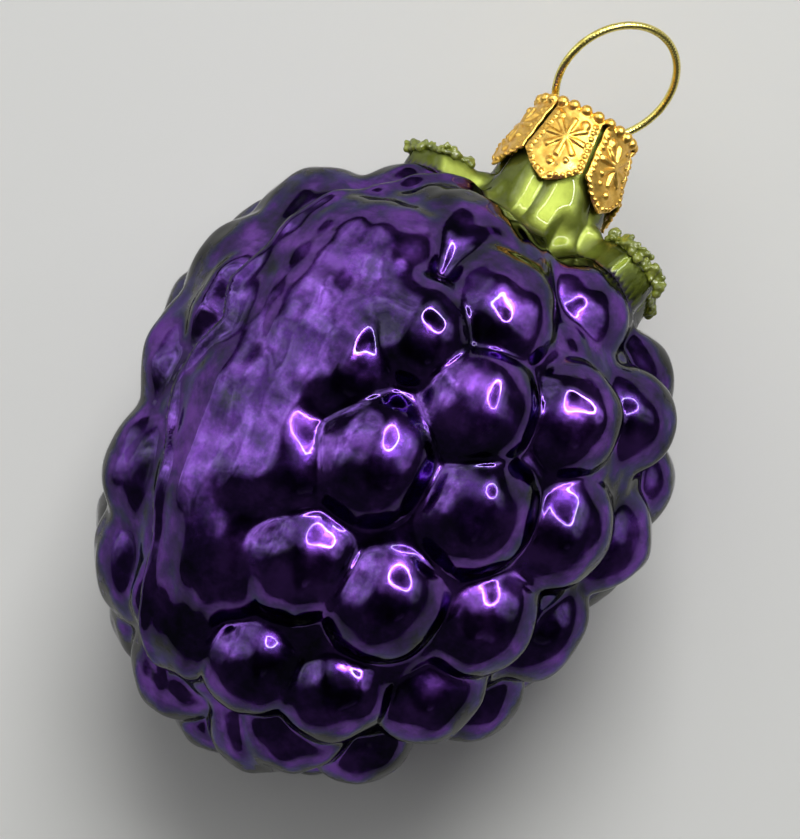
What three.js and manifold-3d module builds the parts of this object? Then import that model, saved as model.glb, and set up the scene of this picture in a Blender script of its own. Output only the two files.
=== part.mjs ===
// Glass bramble berry: a mould-blown, silvered and lacquered tree ornament, lying on its side.
// Millimetres. The berry's axis runs along Y with the neck towards +Y, and Z is up.
import * as THREE from 'three';
import { mergeVertices } from 'three/addons/utils/BufferGeometryUtils.js';
import Module from 'manifold-3d';

const wasm = await Module();
wasm.setup();

// Berry body, measured over the crests of its drupelets
const BELLY_RADIUS = 27.6;
const BELLY_Y = 3;
const LOWER_LENGTH = 35.4;
const UPPER_LENGTH = 27.4;
const SHOULDER_POWER = 2.5;
// Points in the profile's lower curve, upper curve, bend into the neck, and neck
const PROFILE_STEPS = [200, 400, 40, 60];

// Neck, from the shoulder to the open mouth under the cap
const SHOULDER_END_RADIUS = 8.6;
const NECK_BEND = [0.3, 0.2];
const NECK_ROOT = [6.2, 32.6];
const NECK_MOUTH = [4.7, 40.7];
const GLASS_WALL = 0.8;
const INNER_REACH = 3;

// The neck, cap and wire lean a little off the berry's axis about this point
const NECK_PIVOT = new THREE.Vector3(0, 31, 0);
const NECK_LEAN = new THREE.Euler(THREE.MathUtils.degToRad(-8), 0, THREE.MathUtils.degToRad(4));
const LEAN_START_Y = 28;
const LEAN_FULL_Y = 34;

// Where the lying berry stands: its axis above the surface, and the middle of its footprint
const AXIS_HEIGHT = 26.5;
const FOOTPRINT_CENTRE = [-0.19, 10.31];

// Relief of the drupelets: each dome is a cap of a ball of this radius plus a share of the drupelet's own
const DOME_RADIUS = 5;
const DOME_SHARE = 0.5;
const VALLEY_DEPTH = 3.5;
const FILLET = 0.38;
const SOFT_FILLET = 1;
const BUMP_EDGE = 0.93;
// Between the parting ridge and these angles the relief is faint, and it fades on the shoulder
// over these places and angles; there and on the far side of the ridge its valleys are rounder
const FADED_RELIEF = 0.42;
const FADED_ANGLES = [-14, -22];
const SHEET_RELIEF = 0.45;
const SHEET_START = [21, 25];
const SHEET_ANGLES = [24, 10];
const SIDE_RELIEF = 0.68;
const SIDE_ANGLES = [-105, -85];
// The valley beyond the ridge: its depth, and how far from the ridge it has dropped and risen again
const SEAM_VALLEY_DEPTH = 2;
const SEAM_DROP = [0, 1.8];
const SEAM_RISE = [4.6, 1.8];
// Shallow hollows blown into the sides: along the axis, angle, reach, depth
const HOLLOWS = [[-6, -90, 13, 2.8], [-1.5, 90, 11, 2.2]];
// The relief runs out this far before the neck's root
const RELIEF_END = [0.5, 4.5];

// Drupelets of the upper side: along the axis, angle round it from straight up, radius
const UPPER_DRUPELETS = [
  [28, -21, 5.3], [28.5, 43, 5.8], [20.5, -30, 4.9], [22, 5, 6], [20.5, 64, 5.6],
  [15.5, -11, 6.6], [12, 12, 6.2], [16.5, 36, 6.2], [14.5, 93, 5.8], [1.5, -3, 7.2],
  [2.5, 25, 6.4], [5.5, 50, 6], [7, 77, 5.8], [-11.5, -6, 6.9], [-10.5, 19, 6.4],
  [-7, 46, 6], [-4.5, 75, 5.8], [-24, -2, 5.8], [-22, 28, 5.6], [-17, 55, 5.6],
  [-15, 87, 5.6], [-31, 34, 5.2], [-26, 76, 5.2], [18.3, -43, 5.6], [11.5, -35, 6.2],
  [8.1, -21, 6], [-3.7, -20, 6.6], [0.2, -37, 6.4], [-9.6, -33, 6.4], [-15.6, -24, 6],
  [-23, -33, 5.6], [21.5, -77, 5.5], [11, -74, 6.2], [0, -72, 6.4], [-12, -68, 6],
  [-22, -72, 5.6], [-30.5, -60, 5],
];
// Three drupelets of the underside that the berry lies on
const RESTING_DRUPELETS = [[-4.5, 179, 6.2], [8, 168, 6.2], [8, -168, 6.2]];
const RESTING_FLAT_RADIUS = 2.9;
// Rows that the other drupelets start from, spread evenly afterwards: along, number in the row
const HIDDEN_ROWS = [[-26.5, 8], [-18, 12], [-7, 15], [4.5, 16], [15, 14], [23.5, 10], [28.6, 6]];
const TIP_DRUPELET = [-32.3, -140, 5.6];
const HIDDEN_RADIUS = 5.9;
const HIDDEN_GAP = 8;
const HIDDEN_REACH = 12.5;
const SPREAD_ROUNDS = 60;
const SPREAD_STEP = 0.12;
const SPREAD_LIMITS = [-31, 28.8];

// Where the ridge left by the mould's parting line starts, and its course: along the axis, angle
const SEAM_FADE = [-31, -25];
const SEAM = [
  [-32, -30], [-26, -37], [-18, -40], [-9, -43.5], [-5.5, -50], [-1.4, -53], [2, -50],
  [5.5, -46.5], [9, -51], [17, -51], [28, -50],
];

// Five calyx leaves moulded on the shoulder: angle of the midrib, length, half-width
const LEAVES = [[-90, 9.6, 4.6], [70, 9.6, 4.6], [118, 12, 4.3], [170, 11, 4.2], [-138, 11, 4.0]];
const LEAF_START = 0.4;
const LEAF_RAISE = [0.4, 1.5];
const LEAF_RIB_DEPTH = 0.35;
const LEAF_RIB_WIDTH = 0.8;
const LEAF_ARCH = 0.9;
const LEAF_EDGE = 0.6;
const LEAF_TIP = 0.92;
// Beside a leaf this share of the relief is filled in; the filling fades out between these distances
// from the leaf's edge, and between these shares of its length
const LEAF_BED_FILL = 0.6;
const LEAF_BED = [0.6, 3.4];
const LEAF_BED_ENDS = [1, 1.3];
const LEAF_HALF_ANGLE = 0.33;

// Band of fused glass grit along each leaf's edge
const GRIT_RADIUS = 0.85;
const GRIT_GAP = 0.6;
const GRIT_INSET = 0.5;
const GRIT_STEPS = 22;
const GRIT_SIDES = 6;
const GRIT_SPAN = [0.3, 0.97];
const GRIT_EDGE_POINTS = 6;
const GRIT_LUMPS = [0.72, 1.1];

// Stamped cap: a beaded rim round a shallow dome, and six petals folded down the neck
const CAP_RIM_Y = 41.4;
const CAP_RIM_RADIUS = 5.3;
const CAP_DOME = 0.4;
const CAP_SHEET = 0.4;
const PETALS = 6;
const PETAL_TURN = -12.5;
const PETAL_LENGTH = 8.6;
const PETAL_HALF_WIDTHS = [[0.1, 2.42], [0.38, 2.8], [0.72, 3.22], [0.88, 1.9], [1, 0.3]];
const PETAL_TIP_RADIUS = 6.95;
const PETAL_SAG = [0.65, 0.3];
const PETAL_COLUMNS = 4;
const CAP_RING_RADII = [2, 3.8];
const RIM_BEADS = 24;
const RIM_BEAD_RADIUS = 0.62;
const RIM_BEAD_PLACE = [-0.1, -0.15];
const STAR_DOWN = 3.6;
const STAR_RADII = [2.1, 0.55];
const STAR_RISE = 0.3;
const STAR_RAYS = 8;

// Hanging wire: a round loop that leans over, and two spring legs inside the neck
const WIRE_RADIUS = 0.4;
const WIRE_SIDES = 8;
const WIRE_STEPS = 60;
const LOOP_RADIUS = 6.5;
const LOOP_CENTRE = new THREE.Vector3(-0.45, 46.4, -0.9);
const LOOP_UP = new THREE.Vector3(0.213, 0.939, 0.273).normalize();
const LOOP_SIDE = new THREE.Vector3(0.789, 0, -0.615).normalize();
const LOOP_PARTS = 24;
// Each leg's points: distance below the rim and from the neck's axis
const LEG_DROPS = [[1.1, 2.9], [3.0, 2.7], [5.6, 3.6], [6.8, 3.3]];
const WIRE_HOLE_RADIUS = 0.78;
const WIRE_HOLE_LENGTH = 3;
const WIRE_HOLE_SIDES = 12;

// Grid of the glass: rows along the profile and points round it, outside and inside
const BODY_ROWS = 33;
const SHOULDER_ROWS = 10;
const SHOULDER_LENGTH = 14;
const NECK_ROWS = 4;
const OUTER_AROUND = 72;
const INNER_ROWS = 26;
const INNER_AROUND = 36;

const radians = THREE.MathUtils.degToRad;
const clamp = THREE.MathUtils.clamp;

function smoothstep(from, to, value) {
  const t = clamp((value - from) / (to - from), 0, 1);
  return t * t * (3 - 2 * t);
}

// Radius of the smooth body over the crests at a place along the axis
function bodyRadius(y) {
  const lower = y < BELLY_Y;
  const share = clamp(Math.abs(y - BELLY_Y) / (lower ? LOWER_LENGTH : UPPER_LENGTH), 0, 1);
  const power = lower ? 2 : SHOULDER_POWER;
  return BELLY_RADIUS * (1 - share ** power) ** (1 / power);
}

// The smooth profile as [radius, along], from the tip to the mouth, close together
function profilePoints() {
  const [lowerSteps, upperSteps, bendSteps, neckSteps] = PROFILE_STEPS;
  const points = [];
  for (let i = 0; i < lowerSteps; i += 1) {
    const turn = (Math.PI / 2) * (i / lowerSteps);
    points.push([BELLY_RADIUS * Math.sin(turn), BELLY_Y - LOWER_LENGTH * Math.cos(turn)]);
  }
  const power = 2 / SHOULDER_POWER;
  for (let i = 0; i < upperSteps; i += 1) {
    const turn = (Math.PI / 2) * (i / upperSteps);
    const radius = BELLY_RADIUS * Math.cos(turn) ** power;
    if (radius < SHOULDER_END_RADIUS) break;
    points.push([radius, BELLY_Y + UPPER_LENGTH * Math.sin(turn) ** power]);
  }
  const start = points[points.length - 1];
  const bend = [NECK_ROOT[0] + NECK_BEND[0], start[1] + NECK_BEND[1]];
  for (let i = 1; i <= bendSteps; i += 1) {
    const t = i / bendSteps;
    const blend = (k) => (1 - t) ** 2 * start[k] + 2 * t * (1 - t) * bend[k] + t ** 2 * NECK_ROOT[k];
    points.push([blend(0), blend(1)]);
  }
  for (let i = 1; i <= neckSteps; i += 1) {
    const t = i / neckSteps;
    const blend = (k) => (1 - t) * NECK_ROOT[k] + t * NECK_MOUTH[k];
    points.push([blend(0), blend(1)]);
  }
  return points;
}

const profile = profilePoints();
const arc = [0];
for (let i = 1; i < profile.length; i += 1) {
  const step = Math.hypot(profile[i][0] - profile[i - 1][0], profile[i][1] - profile[i - 1][1]);
  arc.push(arc[i - 1] + step);
}
const ARC_END = arc[arc.length - 1];
const ARC_ROOT = ARC_END - Math.hypot(NECK_ROOT[0] - NECK_MOUTH[0], NECK_ROOT[1] - NECK_MOUTH[1]);

// The smooth profile at an arc length: radius, along, and the outward normal's two parts
function profileAt(length) {
  const s = clamp(length, 0, ARC_END);
  let low = 0;
  let high = arc.length - 1;
  while (high - low > 1) {
    const middle = (low + high) >> 1;
    if (arc[middle] > s) high = middle;
    else low = middle;
  }
  const share = (s - arc[low]) / (arc[high] - arc[low]);
  const dr = profile[high][0] - profile[low][0];
  const dy = profile[high][1] - profile[low][1];
  const size = Math.hypot(dr, dy);
  return {
    radius: profile[low][0] + dr * share,
    along: profile[low][1] + dy * share,
    normalOut: dy / size,
    normalAlong: -dr / size,
  };
}

function onAxis(radius, along, angle) {
  return new THREE.Vector3(radius * Math.sin(angle), along, radius * Math.cos(angle));
}

// Drupelets of the sides and underside start on rows and push each other apart
function spreadHidden(seen) {
  const free = [];
  HIDDEN_ROWS.forEach(([along, count], row) => {
    for (let i = 0; i < count; i += 1) {
      const angle = radians(-180 + (360 * (i + 0.5 * (row % 2))) / count);
      const point = onAxis(bodyRadius(along), along, angle);
      if (seen.every((other) => other.distanceTo(point) > HIDDEN_GAP)) free.push(point);
    }
  });
  for (let round = 0; round < SPREAD_ROUNDS; round += 1) {
    const all = [...seen, ...free].map((point) => point.clone());
    for (const point of free) {
      const here = point.clone();
      for (const other of all) {
        const away = here.clone().sub(other);
        const distance = away.length();
        if (distance < 1e-6 || distance >= HIDDEN_REACH) continue;
        point.addScaledVector(away, (SPREAD_STEP * (HIDDEN_REACH - distance)) / distance);
      }
      point.y = clamp(point.y, ...SPREAD_LIMITS);
      const scale = bodyRadius(point.y) / Math.hypot(point.x, point.z);
      point.x *= scale;
      point.z *= scale;
    }
  }
  return free;
}

function drupelets() {
  const listed = [...UPPER_DRUPELETS, ...RESTING_DRUPELETS, TIP_DRUPELET];
  const placed = listed.map(([along, angle, radius]) => ({
    centre: onAxis(bodyRadius(along), along, radians(angle)),
    radius,
  }));
  const hidden = spreadHidden(placed.map((item) => item.centre));
  return [...placed, ...hidden.map((centre) => ({ centre, radius: HIDDEN_RADIUS }))];
}

const DRUPELETS = drupelets();
const HOLLOW_PLACES = HOLLOWS.map(([along, angle, reach, depth]) => ({
  centre: onAxis(bodyRadius(along), along, radians(angle)),
  reach,
  depth,
}));
const RESTING_POINTS = RESTING_DRUPELETS.map(([along, angle]) =>
  onAxis(bodyRadius(along), along, radians(angle)));

function seamAngle(along) {
  for (let i = 1; i < SEAM.length; i += 1) {
    const [y0, a0] = SEAM[i - 1];
    const [y1, a1] = SEAM[i];
    if (along < y1) return radians(a0 + ((a1 - a0) * clamp(along - y0, 0, y1 - y0)) / (y1 - y0));
  }
  return radians(SEAM[SEAM.length - 1][1]);
}

// How far a dome of this radius has fallen at a distance from its crest
function domeFall(radius, distance) {
  const edge = BUMP_EDGE * radius;
  if (distance < edge) return radius - Math.sqrt(radius * radius - distance * distance);
  const rim = radius * Math.sqrt(1 - BUMP_EDGE * BUMP_EDGE);
  return radius - rim + ((distance - edge) * BUMP_EDGE * radius) / rim;
}

// Depth of the glass below the smooth body, before the leaves
function reliefDepth(s, angle) {
  const at = profileAt(s);
  const here = onAxis(at.radius, at.along, angle);
  const seamed = smoothstep(...SEAM_FADE, at.along);
  const beyond = (seamAngle(at.along) - angle) * at.radius;
  const inside = smoothstep(SEAM_DROP[1], SEAM_DROP[0], beyond);
  const faded = seamed * smoothstep(...FADED_ANGLES.map(radians), angle) * inside;
  const shoulder = smoothstep(...SHEET_START, at.along);
  const sheet = shoulder * smoothstep(...SHEET_ANGLES.map(radians), angle) * inside;
  const side = seamed * smoothstep(...SIDE_ANGLES.map(radians), angle) * (1 - inside);
  const fillet = THREE.MathUtils.lerp(FILLET, SOFT_FILLET, Math.max(faded, sheet, side));
  let sum = Math.exp(-VALLEY_DEPTH / fillet);
  for (const { centre, radius } of DRUPELETS) {
    sum += Math.exp(-domeFall(DOME_RADIUS + DOME_SHARE * radius, here.distanceTo(centre)) / fillet);
  }
  const lost = Math.max((1 - FADED_RELIEF) * faded, (1 - SHEET_RELIEF) * sheet) + (1 - SIDE_RELIEF) * side;
  let body = -fillet * Math.log(sum) * (1 - lost);
  const seamWalls = smoothstep(...SEAM_DROP, beyond) * smoothstep(...SEAM_RISE, beyond);
  body += Math.max(SEAM_VALLEY_DEPTH - body, 0) * seamWalls * seamed;
  for (const { centre, reach, depth } of HOLLOW_PLACES) {
    body += depth * smoothstep(reach, 0, here.distanceTo(centre));
  }
  return body * smoothstep(ARC_ROOT - RELIEF_END[0], ARC_ROOT - RELIEF_END[1], s);
}

// Half-width of a leaf at a share of its length from the neck, kept clear of its neighbours
function leafHalfWidth(share, halfWidth, radius) {
  if (share <= 0 || share >= 1) return 0;
  const free = halfWidth * Math.sin(Math.PI * share ** 0.8) ** 0.8;
  return Math.min(free, LEAF_HALF_ANGLE * radius);
}

// How far a leaf's edge stands over the body at a share of its length
function leafRaise(share) {
  return THREE.MathUtils.lerp(LEAF_RAISE[0], LEAF_RAISE[1], share) + 4 * LEAF_ARCH * share * (1 - share);
}

// How much a point belongs to a leaf, how far that leaf stands over the body, and how near a leaf it is
function leafAt(s, angle) {
  const best = { cover: 0, raise: 0, bed: 0 };
  const at = profileAt(s);
  for (const [midrib, length, halfWidth] of LEAVES) {
    const share = (ARC_ROOT - LEAF_START - s) / length;
    if (share <= 0) continue;
    const turn = Math.atan2(Math.sin(angle - radians(midrib)), Math.cos(angle - radians(midrib)));
    const across = at.radius * turn;
    const edge = leafHalfWidth(share, halfWidth, at.radius);
    const nearness = smoothstep(LEAF_BED[1], LEAF_BED[0], Math.abs(across) - edge);
    best.bed = Math.max(best.bed, nearness * smoothstep(LEAF_BED_ENDS[1], LEAF_BED_ENDS[0], share));
    if (share >= 1) continue;
    const sides = smoothstep(edge + LEAF_EDGE, edge - LEAF_EDGE, Math.abs(across));
    const cover = sides * smoothstep(1, LEAF_TIP, share);
    const rib = LEAF_RIB_DEPTH * Math.exp(-((across / LEAF_RIB_WIDTH) ** 2));
    if (cover > best.cover) Object.assign(best, { cover, raise: leafRaise(share) - rib });
  }
  return best;
}

function outerDepth(s, angle) {
  const leaf = leafAt(s, angle);
  const beside = reliefDepth(s, angle) * (1 - LEAF_BED_FILL * leaf.bed);
  return THREE.MathUtils.lerp(beside, -leaf.raise, leaf.cover);
}

// The inside of blown glass is smoother: it stays a wall below the deepest place close by
function innerDepth(s, angle) {
  const radius = Math.max(profileAt(s).radius, INNER_REACH);
  let deepest = reliefDepth(s, angle);
  for (let i = 0; i < 8; i += 1) {
    const turn = (Math.PI / 4) * i;
    for (const share of [0.5, 1]) {
      const ds = INNER_REACH * share * Math.cos(turn);
      const da = (INNER_REACH * share * Math.sin(turn)) / radius;
      deepest = Math.max(deepest, reliefDepth(s + ds, angle + da));
    }
  }
  return deepest + GLASS_WALL;
}

const leanTurn = new THREE.Quaternion().setFromEuler(NECK_LEAN);

// The neck's lean starts at the shoulder and is full below the cap
function leaned(point) {
  const share = smoothstep(LEAN_START_Y, LEAN_FULL_Y, point.y);
  const turn = new THREE.Quaternion().slerp(leanTurn, share);
  return point.sub(NECK_PIVOT).applyQuaternion(turn).add(NECK_PIVOT);
}

function skinPoint(s, angle, depth) {
  const at = profileAt(s);
  const radius = at.radius - at.normalOut * depth;
  const point = onAxis(radius, at.along - at.normalAlong * depth, angle);
  return leaned(point);
}

function outerPoint(s, angle) {
  const point = skinPoint(s, angle, outerDepth(s, angle));
  const resting = RESTING_POINTS.some((spot) => spot.distanceTo(point) < RESTING_FLAT_RADIUS);
  point.z = resting ? -AXIS_HEIGHT : Math.max(point.z, -AXIS_HEIGHT);
  return point;
}

function innerPoint(s, angle) {
  return skinPoint(s, angle, innerDepth(s, angle));
}

// A closed solid from lists of points and corner triples
function solid(points, faces) {
  const geometry = new THREE.BufferGeometry();
  const flat = points.flatMap((point) => [point.x, point.y, point.z]);
  geometry.setAttribute('position', new THREE.Float32BufferAttribute(flat, 3));
  geometry.setIndex(faces.flat());
  return geometry;
}

// Arc lengths of the outer rows: closer together on the shoulder, where the leaves are
function outerRows() {
  const shoulder = ARC_ROOT - SHOULDER_LENGTH;
  const rows = [];
  for (let i = 1; i <= BODY_ROWS; i += 1) rows.push((shoulder * i) / BODY_ROWS);
  for (let i = 1; i <= SHOULDER_ROWS; i += 1) rows.push(shoulder + (SHOULDER_LENGTH * i) / SHOULDER_ROWS);
  for (let i = 1; i <= NECK_ROWS; i += 1) rows.push(ARC_ROOT + ((ARC_END - ARC_ROOT) * i) / NECK_ROWS);
  return rows;
}

function innerRows() {
  return Array.from({ length: INNER_ROWS }, (_, i) => (ARC_END * (i + 1)) / INNER_ROWS);
}

// Rings of points from a tip; returns where each ring starts
function addRings(points, faces, pointAt, rows, around, outward) {
  const face = (a, b, c) => faces.push(outward ? [a, b, c] : [a, c, b]);
  const tipIndex = points.push(pointAt(0, 0)) - 1;
  const starts = [];
  for (const s of rows) {
    starts.push(points.length);
    for (let i = 0; i < around; i += 1) {
      points.push(pointAt(s, (2 * Math.PI * i) / around - Math.PI));
    }
  }
  for (let i = 0; i < around; i += 1) {
    const next = (i + 1) % around;
    face(tipIndex, starts[0] + next, starts[0] + i);
    for (let row = 1; row < rows.length; row += 1) {
      const [a, b] = [starts[row - 1], starts[row]];
      face(a + i, a + next, b + next);
      face(a + i, b + next, b + i);
    }
  }
  return starts;
}

// Joins two rings with different numbers of points
function joinRings(faces, first, firstCount, second, secondCount) {
  let i = 0;
  let j = 0;
  while (i < firstCount || j < secondCount) {
    const a = first + (i % firstCount);
    const b = second + (j % secondCount);
    if (j >= secondCount || (i < firstCount && (i + 1) / firstCount <= (j + 1) / secondCount)) {
      faces.push([a, first + ((i + 1) % firstCount), b]);
      i += 1;
    } else {
      faces.push([a, second + ((j + 1) % secondCount), b]);
      j += 1;
    }
  }
}

function glassBerry() {
  const points = [];
  const faces = [];
  const outer = addRings(points, faces, outerPoint, outerRows(), OUTER_AROUND, true);
  const inner = addRings(points, faces, innerPoint, innerRows(), INNER_AROUND, false);
  joinRings(faces, outer.at(-1), OUTER_AROUND, inner.at(-1), INNER_AROUND);
  return solid(points, faces);
}

// Numbers between 0 and 1 that look drawn but repeat on every run
function draw(i, j) {
  const value = Math.sin(i * 12.9898 + j * 78.233) * 43758.5453;
  return value - Math.floor(value);
}

// A closed tube along a curve, its radius given for each step and side
function tube(curve, steps, sides, radiusAt) {
  const frames = curve.computeFrenetFrames(steps, false);
  const points = [];
  const faces = [];
  for (let step = 0; step <= steps; step += 1) {
    const centre = curve.getPointAt(step / steps);
    for (let i = 0; i < sides; i += 1) {
      const turn = (2 * Math.PI * i) / sides;
      const radius = radiusAt(step, i);
      const point = centre.clone();
      point.addScaledVector(frames.normals[step], radius * Math.cos(turn));
      point.addScaledVector(frames.binormals[step], radius * Math.sin(turn));
      points.push(point);
    }
  }
  const first = points.push(curve.getPointAt(0)) - 1;
  const last = points.push(curve.getPointAt(1)) - 1;
  for (let i = 0; i < sides; i += 1) {
    const next = (i + 1) % sides;
    for (let step = 0; step < steps; step += 1) {
      const [a, b] = [step * sides, (step + 1) * sides];
      faces.push([a + i, a + next, b + next], [a + i, b + next, b + i]);
    }
    faces.push([first, next, i], [last, steps * sides + i, steps * sides + next]);
  }
  return solid(points, faces);
}

// A point over a leaf's edge; side is -1 or 1, share runs from the neck to the leaf's tip
function leafEdgePoint([midrib, length, halfWidth], side, share, height) {
  const s = ARC_ROOT - LEAF_START - share * length;
  const radius = profileAt(s).radius;
  const across = side * Math.max(leafHalfWidth(share, halfWidth, radius) - GRIT_INSET, 0);
  const angle = radians(midrib) + across / radius;
  return skinPoint(s, angle, -leafRaise(share) - height);
}

function leafGrit(leaf, index) {
  const along = (i) => THREE.MathUtils.lerp(...GRIT_SPAN, i / GRIT_EDGE_POINTS);
  const height = GRIT_RADIUS + GRIT_GAP;
  const points = [];
  for (let i = 0; i <= GRIT_EDGE_POINTS; i += 1) points.push(leafEdgePoint(leaf, -1, along(i), height));
  for (let i = GRIT_EDGE_POINTS - 1; i >= 0; i -= 1) points.push(leafEdgePoint(leaf, 1, along(i), height));
  const lumps = (step, side) =>
    GRIT_RADIUS * THREE.MathUtils.lerp(...GRIT_LUMPS, draw(step + GRIT_STEPS * index, side));
  return tube(new THREE.CatmullRomCurve3(points), GRIT_STEPS, GRIT_SIDES, lumps);
}

function petalHalfWidth(share) {
  const list = [[0, PETAL_HALF_WIDTHS[0][1]], ...PETAL_HALF_WIDTHS];
  const k = Math.max(1, list.findIndex(([at]) => at >= share));
  const [b0, w0] = list[k - 1];
  const [b1, w1] = list[k];
  return b1 > b0 ? w0 + ((w1 - w0) * (share - b0)) / (b1 - b0) : w1;
}

// A point on a petal's outer face: side from -1 to 1 across it, share from the rim to its tip
function petalPoint(petal, side, share) {
  const across = side * petalHalfWidth(share);
  const sag = THREE.MathUtils.lerp(PETAL_SAG[0], PETAL_SAG[1], share) * side * side;
  const out = THREE.MathUtils.lerp(CAP_RIM_RADIUS, PETAL_TIP_RADIUS, share) - sag;
  const turn = radians(PETAL_TURN) + (2 * Math.PI * petal) / PETALS;
  const point = new THREE.Vector3(across, CAP_RIM_Y - PETAL_LENGTH * share, out);
  return point.applyAxisAngle(new THREE.Vector3(0, 1, 0), turn);
}

// The plain stamped sheet of the cap; each outer point has a partner one sheet further in
function capSheet() {
  const perPetal = PETAL_COLUMNS;
  const around = PETALS * perPetal;
  const radii = [...CAP_RING_RADII, CAP_RIM_RADIUS];
  const outer = [];
  const inward = [];
  const faces = [];
  const add = (point, away) => {
    inward.push(away);
    return outer.push(point) - 1;
  };
  const start = radians(PETAL_TURN) - Math.PI / PETALS;
  const centre = add(new THREE.Vector3(0, CAP_RIM_Y + CAP_DOME, 0), new THREE.Vector3(0, -CAP_SHEET, 0));
  const rings = radii.map((radius) => {
    const rim = radius === CAP_RIM_RADIUS;
    const height = CAP_RIM_Y + CAP_DOME * (1 - (radius / CAP_RIM_RADIUS) ** 2);
    return Array.from({ length: around }, (_, i) => {
      const angle = start + (2 * Math.PI * i) / around;
      const away = onAxis(rim ? -CAP_SHEET : 0, -CAP_SHEET, angle);
      return add(onAxis(radius, height, angle), away);
    });
  });
  for (let i = 0; i < around; i += 1) {
    const next = (i + 1) % around;
    faces.push([centre, rings[0][i], rings[0][next]]);
    for (let k = 1; k < rings.length; k += 1) {
      faces.push([rings[k - 1][i], rings[k][i], rings[k][next]]);
      faces.push([rings[k - 1][i], rings[k][next], rings[k - 1][next]]);
    }
  }
  for (let petal = 0; petal < PETALS; petal += 1) {
    const facing = radians(PETAL_TURN) + (2 * Math.PI * petal) / PETALS;
    let above = Array.from({ length: perPetal + 1 }, (_, i) => rings.at(-1)[(petal * perPetal + i) % around]);
    for (const [share] of PETAL_HALF_WIDTHS) {
      const row = above.map((_, i) =>
        add(petalPoint(petal, (2 * i) / perPetal - 1, share), onAxis(-CAP_SHEET, 0, facing)));
      for (let i = 0; i < perPetal; i += 1) {
        faces.push([above[i], row[i], row[i + 1]], [above[i], row[i + 1], above[i + 1]]);
      }
      above = row;
    }
  }
  return thickened(outer, inward, faces);
}

// Closes a sheet: its outer faces, their partners one sheet further in, and a wall along each free edge
function thickened(outer, inward, faces) {
  const count = outer.length;
  const points = [...outer, ...outer.map((point, i) => point.clone().add(inward[i]))];
  const all = faces.flatMap(([a, b, c]) => [[a, b, c], [a + count, c + count, b + count]]);
  const edges = new Set(faces.flatMap(([a, b, c]) => [`${a},${b}`, `${b},${c}`, `${c},${a}`]));
  for (const edge of edges) {
    const [a, b] = edge.split(',').map(Number);
    if (edges.has(`${b},${a}`)) continue;
    all.push([b, a, a + count], [b, a + count, b + count]);
  }
  return solid(points, all);
}

// A low eight-ray star standing on a petal, its foot sunk in the sheet
function petalStar(petal) {
  const middle = petalPoint(petal, 0, STAR_DOWN / PETAL_LENGTH);
  const below = petalPoint(petal, 0, STAR_DOWN / PETAL_LENGTH + 0.1);
  const down = below.clone().sub(middle).normalize();
  const facing = radians(PETAL_TURN) + (2 * Math.PI * petal) / PETALS;
  const across = onAxis(1, 0, facing + Math.PI / 2);
  const out = down.clone().cross(across).normalize();
  const corners = 2 * STAR_RAYS;
  const points = [];
  for (const rise of [STAR_RISE / 2, -CAP_SHEET / 2]) {
    for (let i = 0; i < corners; i += 1) {
      const turn = (2 * Math.PI * i) / corners;
      const radius = STAR_RADII[i % 2];
      const point = middle.clone().addScaledVector(out, rise);
      point.addScaledVector(across, radius * Math.sin(turn)).addScaledVector(down, radius * Math.cos(turn));
      points.push(point);
    }
  }
  const peak = points.push(middle.clone().addScaledVector(out, STAR_RISE)) - 1;
  const foot = points.push(middle.clone().addScaledVector(out, -CAP_SHEET / 2)) - 1;
  const faces = [];
  for (let i = 0; i < corners; i += 1) {
    const next = (i + 1) % corners;
    faces.push([peak, i, next], [foot, corners + next, corners + i]);
    faces.push([i, corners + i, corners + next], [i, corners + next, next]);
  }
  return solid(points, faces);
}

function rimBead(index) {
  const bead = new THREE.IcosahedronGeometry(RIM_BEAD_RADIUS, 0);
  const angle = (2 * Math.PI * (index + 0.5)) / RIM_BEADS;
  const spot = onAxis(CAP_RIM_RADIUS + RIM_BEAD_PLACE[0], CAP_RIM_Y + RIM_BEAD_PLACE[1], angle);
  return bead.translate(spot.x, spot.y, spot.z);
}

// The wire's loop crosses the plane of the cap's rim at two places, given as angles on the loop
function loopEnds() {
  const axis = new THREE.Vector3(0, 1, 0).applyQuaternion(leanTurn);
  const rimCentre = leaned(new THREE.Vector3(0, CAP_RIM_Y, 0));
  const height = LOOP_CENTRE.clone().sub(rimCentre).dot(axis);
  const along = LOOP_SIDE.dot(axis);
  const up = LOOP_UP.dot(axis);
  const top = Math.atan2(up, along);
  const reach = Math.acos(-height / (LOOP_RADIUS * Math.hypot(along, up)));
  return [top - reach, top + reach];
}

function loopPoint(turn) {
  return LOOP_CENTRE.clone()
    .addScaledVector(LOOP_SIDE, LOOP_RADIUS * Math.cos(turn))
    .addScaledVector(LOOP_UP, LOOP_RADIUS * Math.sin(turn));
}

// A body point in the straight neck's frame, before its lean
function straightened(point) {
  return point.clone().sub(NECK_PIVOT).applyQuaternion(leanTurn.clone().invert()).add(NECK_PIVOT);
}

// One spring leg, from under the rim down inside the neck, below the loop's end at this turn
function legPoints(turn) {
  const end = straightened(loopPoint(turn));
  const angle = Math.atan2(end.x, end.z);
  return LEG_DROPS.map(([drop, radius]) => onAxis(radius, CAP_RIM_Y - drop, angle));
}

// The whole wire in the straight neck's frame
function wireCurve() {
  const [from, to] = loopEnds();
  const loop = Array.from({ length: LOOP_PARTS + 1 }, (_, i) =>
    straightened(loopPoint(from + ((to - from) * i) / LOOP_PARTS)));
  return new THREE.CatmullRomCurve3([...legPoints(from).reverse(), ...loop, ...legPoints(to)]);
}

function hangerWire() {
  return tube(wireCurve(), WIRE_STEPS, WIRE_SIDES, () => WIRE_RADIUS);
}

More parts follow.
